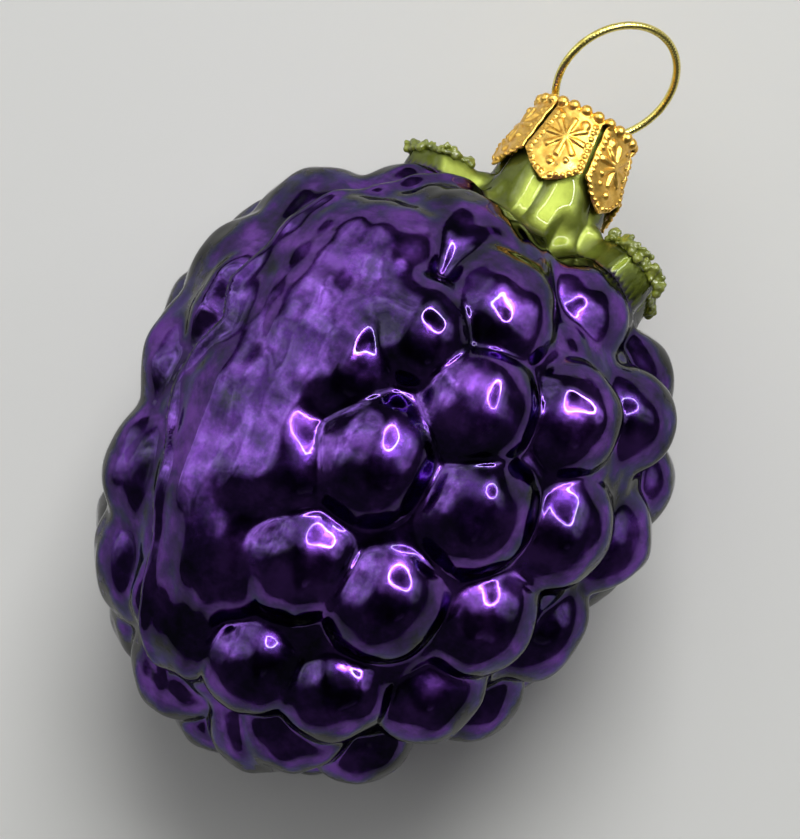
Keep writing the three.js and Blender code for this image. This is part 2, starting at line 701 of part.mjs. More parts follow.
// Cutter for the hole that the wire passes through
function wireHole(turn) {
  const crossing = straightened(loopPoint(turn));
  const under = onAxis(LEG_DROPS[0][1], CAP_RIM_Y - LEG_DROPS[0][0], Math.atan2(crossing.x, crossing.z));
  const along = crossing.clone().sub(under).normalize();
  const cutter = new THREE.CylinderGeometry(
    WIRE_HOLE_RADIUS, WIRE_HOLE_RADIUS, WIRE_HOLE_LENGTH, WIRE_HOLE_SIDES);
  cutter.applyQuaternion(new THREE.Quaternion().setFromUnitVectors(new THREE.Vector3(0, 1, 0), along));
  return cutter.translate(crossing.x, crossing.y, crossing.z);
}

function toManifold(geometry) {
  const bare = geometry.clone();
  bare.deleteAttribute('normal');
  bare.deleteAttribute('uv');
  const merged = mergeVertices(bare, 1e-4);
  const vertProperties = new Float32Array(merged.attributes.position.array);
  const triVerts = new Uint32Array(merged.index.array);
  return new wasm.Manifold(new wasm.Mesh({ numProp: 3, vertProperties, triVerts }));
}

function fromManifold(shape) {
  const mesh = shape.getMesh();
  const geometry = new THREE.BufferGeometry();
  geometry.setAttribute('position', new THREE.BufferAttribute(mesh.vertProperties, 3));
  geometry.setIndex(new THREE.BufferAttribute(mesh.triVerts, 1));
  return geometry;
}

function crownCap() {
  let cap = toManifold(capSheet());
  for (let petal = 0; petal < PETALS; petal += 1) cap = cap.add(toManifold(petalStar(petal)));
  for (let i = 0; i < RIM_BEADS; i += 1) cap = cap.add(toManifold(rimBead(i)));
  for (const turn of loopEnds()) cap = cap.subtract(toManifold(wireHole(turn)));
  return fromManifold(cap);
}

function material(color, roughness, metalness) {
  return new THREE.MeshStandardMaterial({ color, roughness, metalness });
}

function named(name, geometry, look) {
  const mesh = new THREE.Mesh(geometry, look);
  mesh.name = name;
  return mesh;
}

const violetGlass = material(0x4b1f96, 0.15, 0.9);
const greenGrit = material(0x73842f, 0.6, 0);
const goldCap = material(0xd08b28, 0.35, 1);
const goldWire = material(0xd9c150, 0.3, 1);

// The cap and wire are made on the straight axis and lean with the neck
const neckFittings = new THREE.Group();
neckFittings.position.copy(NECK_PIVOT);
neckFittings.rotation.copy(NECK_LEAN);
for (const mesh of [
  named('crown_cap', crownCap(), goldCap),
  named('hanger_wire', hangerWire(), goldWire),
]) {
  mesh.position.copy(NECK_PIVOT).negate();
  neckFittings.add(mesh);
}

const ornament = new THREE.Group();
ornament.add(named('glass_berry', glassBerry(), violetGlass), neckFittings);
LEAVES.forEach((leaf, index) => {
  ornament.add(named(`leaf_grit_${index + 1}`, leafGrit(leaf, index), greenGrit));
});
ornament.position.set(-FOOTPRINT_CENTRE[0], -FOOTPRINT_CENTRE[1], AXIS_HEIGHT);

export default ornament;
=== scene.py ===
# Looks of the glass bramble berry ornament: lacquered mirror glass, stamped gold cap, ribbed wire
# and glass grit.
import math

import bmesh
import bpy
import numpy as np
from mathutils import Euler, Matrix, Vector

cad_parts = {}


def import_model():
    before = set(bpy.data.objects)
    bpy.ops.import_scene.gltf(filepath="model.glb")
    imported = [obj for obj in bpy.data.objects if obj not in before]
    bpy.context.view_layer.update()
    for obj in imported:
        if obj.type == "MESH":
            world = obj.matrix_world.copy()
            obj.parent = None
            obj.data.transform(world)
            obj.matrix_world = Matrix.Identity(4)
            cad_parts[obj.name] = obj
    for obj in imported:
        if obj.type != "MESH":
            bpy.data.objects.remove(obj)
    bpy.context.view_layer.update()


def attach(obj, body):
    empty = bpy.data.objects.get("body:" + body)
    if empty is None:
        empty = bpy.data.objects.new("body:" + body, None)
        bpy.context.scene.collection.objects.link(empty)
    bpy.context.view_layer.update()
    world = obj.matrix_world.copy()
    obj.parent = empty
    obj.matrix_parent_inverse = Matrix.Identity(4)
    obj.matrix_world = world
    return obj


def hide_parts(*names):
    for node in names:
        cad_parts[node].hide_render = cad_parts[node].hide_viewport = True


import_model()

MM = 0.001

# Berry body, measured over the crests of its drupelets, in millimetres as all sizes here are
BELLY_RADIUS = 27.6
BELLY_Y = 3.0
LOWER_LENGTH = 35.4
UPPER_LENGTH = 27.4
SHOULDER_POWER = 2.5
SHOULDER_END_RADIUS = 8.6
NECK_ROOT = (6.2, 32.6)
NECK_MOUTH = (4.7, 40.7)
SHOULDER_BEND = (0.3, 0.2)
GLASS_WALL = 0.8
INNER_NECK_GAP = 0.1
INNER_BODY_GAP = 3.1
INNER_TIP_GAP = 0.4

# Steps of the smooth profile over its lower and upper body, the bend into the neck, and the neck
PROFILE_STEPS = (200, 400, 40, 60)

# The neck, cap and wire lean a little off the berry's axis about this point
NECK_PIVOT = np.array([0.0, 31.0, 0.0])
NECK_LEAN = (math.radians(-8), 0.0, math.radians(4))
LEAN_START_Y = 28.0
LEAN_FULL_Y = 34.0

# Where the lying berry stands
AXIS_HEIGHT = 26.5
FOOTPRINT_CENTRE = (-0.19, 10.31)
PLACE = np.array([-FOOTPRINT_CENTRE[0], -FOOTPRINT_CENTRE[1], AXIS_HEIGHT])

# Drupelets are domes with this radius plus a share of the listed one, straight-sided past an edge,
# with rounded valleys between them
DOME_RADIUS = 5.0
DOME_SHARE = 0.5
DOME_EDGE = 0.93
VALLEY_DEPTH = 3.5
FILLET = 0.38
SOFT_FILLET = 1.0

# Where the relief ends below the neck's root
RELIEF_END = (4.5, 0.5)

# Shares of the relief that stay: by the ridge, on the smooth sheet at the shoulder, and beyond the
# ridge, with the places along the axis and the angles where each begins
FADED_RELIEF = 0.42
FADED_ANGLES = (-14, -22)
SHEET_RELIEF = 0.45
SHEET_START = (21, 25)
SHEET_ANGLES = (24, 10)
SIDE_RELIEF = 0.68
SIDE_ANGLES = (-105, -85)

# Shallow hollows in the sides: along the axis, angle, reach, depth
HOLLOWS = ((-6, -90, 13, 2.8), (-1.5, 90, 11, 2.2))

# The mould's ridge, and the valley beyond it by its distances from the ridge
SEAM_VALLEY_DEPTH = 2.0
SEAM_DROP = (0.0, 1.8)
SEAM_RISE = (4.6, 1.8)
SEAM_RIDGE = 0.55
SEAM_RIDGE_WIDTH = 0.9

# Drupelets that the photo shows: along the axis, angle round it from straight up, radius
UPPER_DRUPELETS = (
    (28, -21, 5.3), (28.5, 43, 5.8), (20.5, -30, 4.9), (22, 5, 6), (20.5, 64, 5.6),
    (15.5, -11, 6.6), (12, 12, 6.2), (16.5, 36, 6.2), (14.5, 93, 5.8), (1.5, -3, 7.2),
    (2.5, 25, 6.4), (5.5, 50, 6), (7, 77, 5.8), (-11.5, -6, 6.9), (-10.5, 19, 6.4),
    (-7, 46, 6), (-4.5, 75, 5.8), (-24, -2, 5.8), (-22, 28, 5.6), (-17, 55, 5.6),
    (-15, 87, 5.6), (-31, 34, 5.2), (-26, 76, 5.2), (18.3, -43, 5.6), (11.5, -35, 6.2),
    (8.1, -21, 6), (-3.7, -20, 6.6), (0.2, -37, 6.4), (-9.6, -33, 6.4), (-15.6, -24, 6),
    (-23, -33, 5.6), (21.5, -77, 5.5), (11, -74, 6.2), (0, -72, 6.4), (-12, -68, 6),
    (-22, -72, 5.6), (-30.5, -60, 5),
)
RESTING_DRUPELETS = ((-4.5, 179, 6.2), (8, 168, 6.2), (8, -168, 6.2))
TIP_DRUPELET = (-32.3, -140, 5.6)

# Hidden drupelets: along the axis and how many there, then how they spread
HIDDEN_ROWS = ((-26.5, 8), (-18, 12), (-7, 15), (4.5, 16), (15, 14), (23.5, 10), (28.6, 6))
HIDDEN_RADIUS = 5.9
HIDDEN_GAP = 8.0
HIDDEN_REACH = 12.5
SPREAD_ROUNDS = 60
SPREAD_STEP = 0.12
SPREAD_LIMITS = (-31.0, 28.8)
TOO_CLOSE = 1e-6

# Ridge left by the mould's parting line: along the axis, angle
SEAM = (
    (-32, -30), (-26, -37), (-18, -40), (-9, -43.5), (-5.5, -50), (-1.4, -53), (2, -50),
    (5.5, -46.5), (9, -51), (17, -51), (28, -50),
)
SEAM_FADE = (-31, -25)

# Calyx leaves: angle of the midrib, length, half-width. They stand up from a filled bed round them.
LEAVES = ((-90, 9.6, 4.6), (70, 9.6, 4.6), (118, 12, 4.3), (170, 11, 4.2), (-138, 11, 4.0))
LEAF_FOOT = 0.4
LEAF_ROUNDNESS = 0.8
LEAF_RAISE = (0.4, 1.5)
LEAF_RIB_DEPTH = 0.35
LEAF_RIB_WIDTH = 0.8
LEAF_ARCH = 0.9
LEAF_EDGE = 0.8
LEAF_TIP = 0.92
LEAF_BED = (0.6, 3.4)
LEAF_BED_ENDS = (1.0, 1.3)
LEAF_BED_FILL = 0.6
LEAF_HALF_ANGLE = 0.33

# Green lacquer: how soon it covers a leaf's side, and where it starts below the neck's root
GREEN_EDGE = 0.12
GREEN_START = (3.9, 3.2)

# Creases between the lobes at the foot of the neck
NECK_LOBES = 6
NECK_CREASE_ANGLE = -12
NECK_CREASE_DEPTH = 0.55
NECK_CREASE_START = (5.0, 1.5)
NECK_CREASE_END = (1.0, 1.0)

# Waviness of blown glass and of thin sheet: seed, number of waves, their lengths and height
GLASS_WAVES = (7, 9, (2.6, 8.0), 0.042)
CAP_CRUMPLE = (11, 8, (0.9, 3.0), 0.025)

# Rings of points from tip to mouth and points round each, outside and inside
GLASS_ROWS = 238
GLASS_AROUND = 400
INNER_ROWS = 40
INNER_AROUND = 48


def smoothstep(start, end, value):
    """A smooth rise from 0 at the start to 1 at the end."""
    t = np.clip((value - start) / (end - start), 0, 1)
    return t * t * (3 - 2 * t)


def body_radius(y):
    """Radius of the smooth body over the crests at a place along the axis."""
    y = np.asarray(y, dtype=float)
    length = np.where(y < BELLY_Y, LOWER_LENGTH, UPPER_LENGTH)
    power = np.where(y < BELLY_Y, 2.0, SHOULDER_POWER)
    share = np.clip(np.abs(y - BELLY_Y) / length, 0, 1)
    return BELLY_RADIUS * (1 - share ** power) ** (1 / power)


def profile_points():
    """The smooth profile as radius and place along the axis, from the tip to the neck's mouth."""
    lower_steps, upper_steps, bend_steps, neck_steps = PROFILE_STEPS
    turn = np.linspace(0, math.pi / 2, lower_steps, endpoint=False)
    lower = np.stack([BELLY_RADIUS * np.sin(turn), BELLY_Y - LOWER_LENGTH * np.cos(turn)], 1)
    power = 2 / SHOULDER_POWER
    turn = np.linspace(0, math.pi / 2, upper_steps, endpoint=False)
    upper = np.stack([BELLY_RADIUS * np.cos(turn) ** power,
                      BELLY_Y + UPPER_LENGTH * np.sin(turn) ** power], 1)
    upper = upper[upper[:, 0] >= SHOULDER_END_RADIUS]
    start = upper[-1]
    root = np.array(NECK_ROOT)
    bend = np.array([NECK_ROOT[0] + SHOULDER_BEND[0], start[1] + SHOULDER_BEND[1]])
    t = (np.arange(1, bend_steps + 1) / bend_steps)[:, None]
    curve = (1 - t) ** 2 * start + 2 * t * (1 - t) * bend + t ** 2 * root
    t = (np.arange(1, neck_steps + 1) / neck_steps)[:, None]
    neck = (1 - t) * root + t * np.array(NECK_MOUTH)
    return np.concatenate([lower, upper, curve, neck])


PROFILE = profile_points()
STEPS = np.linalg.norm(np.diff(PROFILE, axis=0), axis=1)
ARC = np.concatenate([[0], np.cumsum(STEPS)])
ARC_END = ARC[-1]
ARC_ROOT = ARC_END - math.dist(NECK_ROOT, NECK_MOUTH)


def profile_at(s):
    """Radius, place along the axis and outward normal of the smooth profile at arc lengths."""
    s = np.clip(s, 0, ARC_END)
    radius = np.interp(s, ARC, PROFILE[:, 0])
    along = np.interp(s, ARC, PROFILE[:, 1])
    middle = (ARC[1:] + ARC[:-1]) / 2
    slope = np.diff(PROFILE, axis=0) / STEPS[:, None]
    normal_out = np.interp(s, middle, slope[:, 1])
    normal_along = -np.interp(s, middle, slope[:, 0])
    size = np.hypot(normal_out, normal_along)
    return radius, along, normal_out / size, normal_along / size


def unit(*parts):
    """A direction of length 1."""
    return np.array(parts) / math.hypot(*parts)


def on_axis(radius, along, angle):
    """Points at a radius, a place along the axis and an angle round it from straight up."""
    return np.stack([radius * np.sin(angle), along + 0 * angle, radius * np.cos(angle)], -1)


def spread_hidden(seen):
    """Drupelets of the sides and underside start on rows and push each other apart."""
    free = []
    for row, (along, count) in enumerate(HIDDEN_ROWS):
        for i in range(count):
            angle = math.radians(-180 + 360 * (i + 0.5 * (row % 2)) / count)
            point = on_axis(body_radius(along), along, np.array(angle))
            if np.linalg.norm(seen - point, axis=1).min() > HIDDEN_GAP:
                free.append(point)
    free = np.array(free)
    for _ in range(SPREAD_ROUNDS):
        everyone = np.concatenate([seen, free])
        away = free[:, None] - everyone[None]
        distance = np.linalg.norm(away, axis=2)
        near = (distance > TOO_CLOSE) & (distance < HIDDEN_REACH)
        push = SPREAD_STEP * (HIDDEN_REACH - distance) / np.maximum(distance, TOO_CLOSE)
        push = np.where(near, push, 0)
        free = free + (away * push[..., None]).sum(1)
        free[:, 1] = np.clip(free[:, 1], *SPREAD_LIMITS)
        scale = body_radius(free[:, 1]) / np.hypot(free[:, 0], free[:, 2])
        free[:, 0] *= scale
        free[:, 2] *= scale
    return free


def drupelets():
    """Centres on the smooth body, and radii."""
    listed = np.array(UPPER_DRUPELETS + RESTING_DRUPELETS + (TIP_DRUPELET,), dtype=float)
    placed = on_axis(body_radius(listed[:, 0]), listed[:, 0], np.radians(listed[:, 1]))
    hidden = spread_hidden(placed)
    radii = np.concatenate([listed[:, 2], np.full(len(hidden), HIDDEN_RADIUS)])
    return np.concatenate([placed, hidden]), radii


CENTRES, RADII = drupelets()


def dome_fall(radius, distance):
    """How far a dome of this radius has fallen at a distance from its crest."""
    edge = DOME_EDGE * radius
    rim = radius * math.sqrt(1 - DOME_EDGE ** 2)
    round_part = radius - np.sqrt(np.maximum(radius ** 2 - distance ** 2, rim ** 2))
    straight = (distance - edge) * DOME_EDGE * radius / rim
    return round_part + np.maximum(straight, 0)


def on_body(s):
    """1 over the berry, falling to 0 just below the neck's root."""
    return smoothstep(ARC_ROOT - RELIEF_END[1], ARC_ROOT - RELIEF_END[0], s)


def neck_creases(s, angle):
    """Depth of the creases between the lobes at the foot of the neck."""
    crease = 1 - np.abs(np.sin(NECK_LOBES / 2 * (angle - math.radians(NECK_CREASE_ANGLE))))
    foot = smoothstep(ARC_ROOT - NECK_CREASE_START[0], ARC_ROOT - NECK_CREASE_START[1], s)
    foot = foot * smoothstep(ARC_END - NECK_CREASE_END[0], ARC_ROOT + NECK_CREASE_END[1], s)
    return NECK_CREASE_DEPTH * crease ** 2 * foot


def relief_depth(s, angle):
    """Depth of the glass below the smooth body, before the leaves."""
    radius, along, _, _ = profile_at(s)
    here = on_axis(radius, along, angle)
    seam = np.radians(np.interp(along, [at for at, _ in SEAM], [turn for _, turn in SEAM]))
    seamed = smoothstep(*SEAM_FADE, along)
    beyond = (seam - angle) * radius
    inside = smoothstep(SEAM_DROP[1], SEAM_DROP[0], beyond)
    faded = seamed * smoothstep(*np.radians(FADED_ANGLES), angle) * inside
    sheet = smoothstep(*SHEET_START, along) * smoothstep(*np.radians(SHEET_ANGLES), angle) * inside
    side = seamed * smoothstep(*np.radians(SIDE_ANGLES), angle) * (1 - inside)
    fillet = FILLET + (SOFT_FILLET - FILLET) * np.maximum(np.maximum(faded, sheet), side)
    total = np.exp(-VALLEY_DEPTH / fillet)
    for centre, size in zip(CENTRES, DOME_RADIUS + DOME_SHARE * RADII):
        total += np.exp(-dome_fall(size, np.linalg.norm(here - centre, axis=-1)) / fillet)
    lost = np.maximum((1 - FADED_RELIEF) * faded, (1 - SHEET_RELIEF) * sheet) + (1 - SIDE_RELIEF) * side
    body = -fillet * np.log(total) * (1 - lost)
    walls = smoothstep(*SEAM_DROP, beyond) * smoothstep(*SEAM_RISE, beyond)
    body += np.maximum(SEAM_VALLEY_DEPTH - body, 0) * walls * seamed
    for place, turn, reach, depth in HOLLOWS:
        centre = on_axis(body_radius(place), place, np.array(math.radians(turn)))
        body += depth * smoothstep(reach, 0, np.linalg.norm(here - centre, axis=-1))
    body -= seamed * SEAM_RIDGE * np.exp(-(beyond / SEAM_RIDGE_WIDTH) ** 2)
    return body * on_body(s) + neck_creases(s, angle)


def leaf_half_width(share, half_width, radius):
    """Half the width of a leaf at a share of its length."""
    inside = (share > 0) & (share < 1)
    swell = np.sin(math.pi * np.clip(share, 0, 1) ** LEAF_ROUNDNESS) ** LEAF_ROUNDNESS
    return np.where(inside, np.minimum(half_width * swell, LEAF_HALF_ANGLE * radius), 0)


def leaf_raise(share):
    """How far a leaf's edge stands over the body at a share of its length."""
    return LEAF_RAISE[0] + (LEAF_RAISE[1] - LEAF_RAISE[0]) * share + 4 * LEAF_ARCH * share * (1 - share)


def leaf_cover(s, angle):
    """How much each point belongs to a leaf, how far that leaf stands up, and how near its bed is."""
    radius = profile_at(s)[0]
    cover = np.zeros(s.shape)
    raised = np.zeros(s.shape)
    bed = np.zeros(s.shape)
    for midrib, length, half_width in LEAVES:
        share = (ARC_ROOT - LEAF_FOOT - s) / length
        off = angle - math.radians(midrib)
        across = radius * np.arctan2(np.sin(off), np.cos(off))
        edge = leaf_half_width(share, half_width, radius)
        this = smoothstep(edge + LEAF_EDGE, edge - LEAF_EDGE, np.abs(across))
        this *= ((share > 0) & (share < 1)) * smoothstep(1.0, LEAF_TIP, share)
        rib = LEAF_RIB_DEPTH * np.exp(-(across / LEAF_RIB_WIDTH) ** 2)
        better = this > cover
        cover = np.where(better, this, cover)
        raised = np.where(better, leaf_raise(share) - rib, raised)
        beside = smoothstep(LEAF_BED[1], LEAF_BED[0], np.abs(across) - edge)
        beside *= (share > 0) * smoothstep(LEAF_BED_ENDS[1], LEAF_BED_ENDS[0], share)
        bed = np.maximum(bed, beside)
    return cover, raised, bed


def rotation(share):
    """Turning matrices for shares of the neck's lean."""
    tilt, swing = share * NECK_LEAN[0], share * NECK_LEAN[2]
    ct, st, cs, ss = np.cos(tilt), np.sin(tilt), np.cos(swing), np.sin(swing)
    zero = 0 * ct
    rows = [[cs, -ss, zero], [ct * ss, ct * cs, -st], [st * ss, st * cs, ct]]
    return np.stack([np.stack(row, -1) for row in rows], -2)


def leaned(points):
    """The berry's points, with the neck's lean starting softly in the shoulder."""
    share = smoothstep(LEAN_START_Y, LEAN_FULL_Y, points[..., 1])
    turned = np.einsum("...ij,...j->...i", rotation(share), points - NECK_PIVOT)
    return turned + NECK_PIVOT


def ripples(points, seed, count, lengths, height):
    """Heights of small waves that cross in random directions."""
    chance = np.random.default_rng(seed)
    total = np.zeros(points.shape[:-1])
    for _ in range(count):
        direction = chance.normal(size=3)
        direction *= 2 * math.pi / (chance.uniform(*lengths) * np.linalg.norm(direction))
        total += height * np.sin(points @ direction + chance.uniform(0, 2 * math.pi))
    return total


def skin(s, angle, depth):
    """Points of the glass at a depth below the smooth body."""
    radius, along, normal_out, normal_along = profile_at(s)
    return leaned(on_axis(radius - normal_out * depth, along - normal_along * depth, angle))


def smooth_all(mesh):
    mesh.polygons.foreach_set("use_smooth", [True] * len(mesh.polygons))


def new_mesh(name, points, faces):
    """An object from millimetre points in the berry's own frame."""
    mesh = bpy.data.meshes.new(name)
    mesh.from_pydata(((points + PLACE) * MM).tolist(), [], faces)
    mesh.validate()
    piece = bpy.data.objects.new(name, mesh)
    bpy.context.scene.collection.objects.link(piece)
    smooth_all(mesh)
    return piece


def ring_faces(start_a, start_b, count, outward=True):
    """Quads between two rings of points."""
    faces = []
    for i in range(count):
        j = (i + 1) % count
        quad = (start_a + i, start_a + j, start_b + j, start_b + i)
        faces.append(quad if outward else quad[::-1])
    return faces


def shell_faces(start, rows, around, tip, outward):
    """Faces of one shell, from a fan round its tip to the ring at its mouth."""
    faces = []
    for i in range(around):
        here, after = start + i, start + (i + 1) % around
        faces.append((tip, after, here) if outward else (tip, here, after))
    for row in range(rows - 1):
        ring = start + row * around
        faces += ring_faces(ring, ring + around, around, outward)
    return faces


def join_rings(first, first_count, second, second_count):
    """Triangles between two rings with different numbers of points."""
    faces = []
    i = j = 0
    while i < first_count or j < second_count:
        a = first + i % first_count
        b = second + j % second_count
        if j >= second_count or (i < first_count and (i + 1) / first_count <= (j + 1) / second_count):
            faces.append((a, first + (i + 1) % first_count, b))
            i += 1
        else:
            faces.append((a, second + (j + 1) % second_count, b))
            j += 1
    return faces


def shell_grid(rows, around):
    """Arc lengths and angles of a shell's points, from next to the tip to the mouth."""
    at = np.linspace(0, ARC_END, rows + 1)[1:]
    turns = np.linspace(-math.pi, math.pi, around, endpoint=False)
    return np.meshgrid(at, turns, indexing="ij")


def paint_green(piece, s, cover):
    """Marks where the lacquer is green: on the leaves and the neck."""
    above = smoothstep(ARC_ROOT - GREEN_START[0], ARC_ROOT - GREEN_START[1], s)
    green = np.maximum(smoothstep(0, GREEN_EDGE, cover), above)
    paint = np.zeros(len(piece.data.vertices))
    paint[:green.size] = green.ravel()
    layer = piece.data.attributes.new("green_lacquer", "FLOAT", "POINT")
    layer.data.foreach_set("value", paint)


def glass_piece():
    """The whole blown shell: outside with its relief and leaves, inside smooth, open at the mouth."""
    s, angle = shell_grid(GLASS_ROWS, GLASS_AROUND)
    cover, raised, bed = leaf_cover(s, angle)
    depth = relief_depth(s, angle) * (1 - LEAF_BED_FILL * bed) * (1 - cover) - raised * cover
    radius, along, _, _ = profile_at(s)
    depth += ripples(on_axis(radius, along, angle), *GLASS_WAVES)
    outer = skin(s, angle, depth)
    outer[..., 2] = np.maximum(outer[..., 2], -AXIS_HEIGHT)
    s_in, angle_in = shell_grid(INNER_ROWS, INNER_AROUND)
    depth_in = GLASS_WALL + INNER_NECK_GAP + (VALLEY_DEPTH + INNER_BODY_GAP) * on_body(s_in)
    inner = skin(s_in, angle_in, depth_in)
    tip_depth = float(relief_depth(np.array([0.0]), np.array([0.0]))[0])
    tip = np.array([[0.0, BELLY_Y - LOWER_LENGTH + tip_depth, 0.0]])
    tip_in = np.array([[0.0, BELLY_Y - LOWER_LENGTH + VALLEY_DEPTH + GLASS_WALL + INNER_TIP_GAP, 0.0]])
    points = np.concatenate([outer.reshape(-1, 3), inner.reshape(-1, 3), tip, tip_in])
    inner_start = s.size
    tip_index = inner_start + s_in.size
    faces = shell_faces(0, GLASS_ROWS, GLASS_AROUND, tip_index, True)
    faces += shell_faces(inner_start, INNER_ROWS, INNER_AROUND, tip_index + 1, False)
    faces += join_rings(inner_start - GLASS_AROUND, GLASS_AROUND, tip_index - INNER_AROUND, INNER_AROUND)
    piece = new_mesh("glass_skin", points, faces)
    paint_green(piece, s, cover)
    return piece


def material(name):
    """A new material with its nodes, its links and its main shader."""
    made = bpy.data.materials.new(name)
    made.use_nodes = True
    nodes = made.node_tree.nodes
    return made, nodes, made.node_tree.links, nodes["Principled BSDF"]


def noise(nodes, links, grain, source):
    """Noise over a place or direction; its grain is its scale, detail and roughness."""
    made = nodes.new("ShaderNodeTexNoise")
    for socket, value in zip(("Scale", "Detail", "Roughness"), grain):
        made.inputs[socket].default_value = value
    links.new(source, made.inputs["Vector"])
    return made.outputs["Fac"]


def ramp(nodes, links, source, stops):
    """Colours that follow a value; each stop is a value and the colour there."""
    made = nodes.new("ShaderNodeValToRGB")
    for element, (position, colour) in zip(made.color_ramp.elements, (stops[0], stops[-1])):
        element.position = position
        element.color = (*colour, 1)
    for position, colour in stops[1:-1]:
        made.color_ramp.elements.new(position).color = (*colour, 1)
    links.new(source, made.inputs["Fac"])
    return made.outputs["Color"]


def spread(nodes, links, source, before, after):
    """Maps one range of values to another."""
    made = nodes.new("ShaderNodeMapRange")
    for socket, value in zip(("From Min", "From Max", "To Min", "To Max"), (*before, *after)):
        made.inputs[socket].default_value = value
    links.new(source, made.inputs["Value"])
    return made


def bump(nodes, links, shader, place, grain, strength, height):
    """Fine unevenness of a surface, no higher than a height in millimetres."""
    made = nodes.new("ShaderNodeBump")
    made.inputs["Strength"].default_value = strength
    made.inputs["Distance"].default_value = height * MM
    links.new(noise(nodes, links, grain, place), made.inputs["Height"])
    links.new(made.outputs["Normal"], shader.inputs["Normal"])


def toned(name, grain, stops, roughness):
    """A material whose colour and roughness follow one noise, with its parts for what else it has."""
    made, nodes, links, shader = material(name)
    place = nodes.new("ShaderNodeTexCoord").outputs["Object"]
    cloud = noise(nodes, links, grain, place)
    links.new(ramp(nodes, links, cloud, stops), shader.inputs["Base Color"])
    rough = spread(nodes, links, cloud, TONE_RANGE, roughness)
    links.new(rough.outputs["Result"], shader.inputs["Roughness"])
    return made, nodes, links, shader, place


# Looks: grains of noise as scale per metre, detail and roughness, then ranges and colours
TONE_RANGE = (0.3, 0.7)
LACQUER_CLOUD = (170, 5, 0.66)
VIOLET_TONES = ((0.36, (0.010, 0.005, 0.032)), (0.5, (0.056, 0.016, 0.150)), (0.64, (0.17, 0.052, 0.38)))
GREEN_TONES = ((0.32, (0.066, 0.082, 0.010)), (0.66, (0.195, 0.23, 0.042)))
GLOSS_CLOUD = (240, 3, 0.6)
GLOSS_RANGE = (0.35, 0.7)
VIOLET_ROUGHNESS = (0.09, 0.28)
GREEN_ROUGHNESS = 0.46
SILVER_EDGE = (0.03, 0.02, 0.05, 1)
CLEAR_COAT = {"Coat Weight": 0.6, "Coat Roughness": 0.03, "Coat IOR": 1.45}
LACQUER_BUMP = ((420, 2, 0.5), 0.35, 0.2)

SHEET_CLOUD = (1500, 4, 0.6)
SHEET_TONES = ((0.3, (0.66, 0.36, 0.055)), (0.62, (0.90, 0.56, 0.12)))
SHEET_ROUGHNESS = (0.40, 0.26)
SHEET_BUMP = ((2600, 2, 0.5), 0.4, 0.05)

WIRE_CLOUD = (1200, 3, 0.5)
WIRE_TONES = ((0.3, (0.62, 0.50, 0.10)), (0.6, (0.88, 0.76, 0.24)))
WIRE_ROUGHNESS = (0.30, 0.20)

GRIT_CLOUD = (900, 3, 0.6)
GRIT_TONES = ((0.3, (0.10, 0.125, 0.008)), (0.55, (0.22, 0.26, 0.022)), (0.75, (0.40, 0.45, 0.06)))
GRIT_ROUGHNESS = (0.5, 0.3)
GRIT_COAT = {"Coat Weight": 0.5, "Coat Roughness": 0.15}


def mixed(nodes, links, kind, share, first, second):
    """A blend of two sources or values by a share."""
    made = nodes.new("ShaderNodeMix")
    made.data_type = kind
    links.new(share, made.inputs["Factor"])
    for socket, source in zip(("A", "B"), (first, second)):
        if isinstance(source, float):
            made.inputs[socket].default_value = source
        else:
            links.new(source, made.inputs[socket])
    return made.outputs["Result"]


def lacquered_glass():
    """Violet and pearl green lacquer over silvered glass, under a clear glossy surface."""
    made, nodes, links, shader = material("lacquered_glass")
    place = nodes.new("ShaderNodeTexCoord").outputs["Object"]
    cloud = noise(nodes, links, LACQUER_CLOUD, place)
    violet = ramp(nodes, links, cloud, VIOLET_TONES)
    green = ramp(nodes, links, cloud, GREEN_TONES)
    paint = nodes.new("ShaderNodeAttribute")
    paint.attribute_name = "green_lacquer"
    tone = mixed(nodes, links, "RGBA", paint.outputs["Fac"], violet, green)
    links.new(tone, shader.inputs["Base Color"])
    gloss = noise(nodes, links, GLOSS_CLOUD, place)
    violet_rough = spread(nodes, links, gloss, GLOSS_RANGE, VIOLET_ROUGHNESS).outputs["Result"]
    rough = mixed(nodes, links, "FLOAT", paint.outputs["Fac"], violet_rough, GREEN_ROUGHNESS)
    links.new(rough, shader.inputs["Roughness"])
    shader.inputs["Metallic"].default_value = 1.0
    shader.inputs["Specular Tint"].default_value = SILVER_EDGE
    for socket, value in CLEAR_COAT.items():
        shader.inputs[socket].default_value = value
    bump(nodes, links, shader, place, *LACQUER_BUMP)
    return made


def stamped_gold():
    """Satin gold of the stamped sheet, browner in small random patches."""
    made, nodes, links, shader, place = toned("stamped_gold", SHEET_CLOUD, SHEET_TONES, SHEET_ROUGHNESS)
    shader.inputs["Metallic"].default_value = 1.0
    bump(nodes, links, shader, place, *SHEET_BUMP)
    return made


def wire_gold():
    """Paler gold of the wire."""
    made, _, _, shader, _ = toned("wire_gold", WIRE_CLOUD, WIRE_TONES, WIRE_ROUGHNESS)
    shader.inputs["Metallic"].default_value = 1.0
    return made


def grit_green():
    """Fused green glass grit: nearly matte, with paler and darker grains."""
    made, _, _, shader, _ = toned("grit_green", GRIT_CLOUD, GRIT_TONES, GRIT_ROUGHNESS)
    for socket, value in GRIT_COAT.items():
        shader.inputs[socket].default_value = value
    return made


